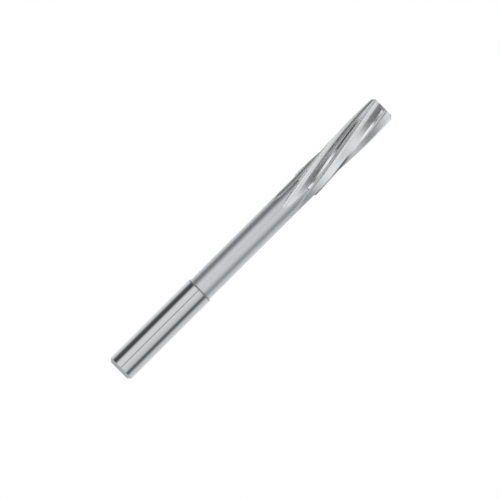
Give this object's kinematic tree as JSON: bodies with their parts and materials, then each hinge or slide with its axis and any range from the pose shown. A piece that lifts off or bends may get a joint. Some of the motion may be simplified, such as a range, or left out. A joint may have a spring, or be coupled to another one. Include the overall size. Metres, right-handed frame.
{
  "type": "machine reamer",
  "caption": "Machine reamer with a plain cylindrical shank, a relieved neck and left-hand helical flutes behind a 45 degree cutting lead.",
  "frame": {"origin": "centre of the shank's end face, on the axis", "axes": "+Z along the axis from the shank's end to the cutting tip; the rake face of one tooth meets the tip's end face along +X"},
  "size_m": [0.012, 0.012, 0.151],
  "materials": {
    "tool_steel": "bright ground high-speed steel"
  },
  "bodies": {
    "root": {"reamer": "tool_steel"}
  },
  "joints": []
}
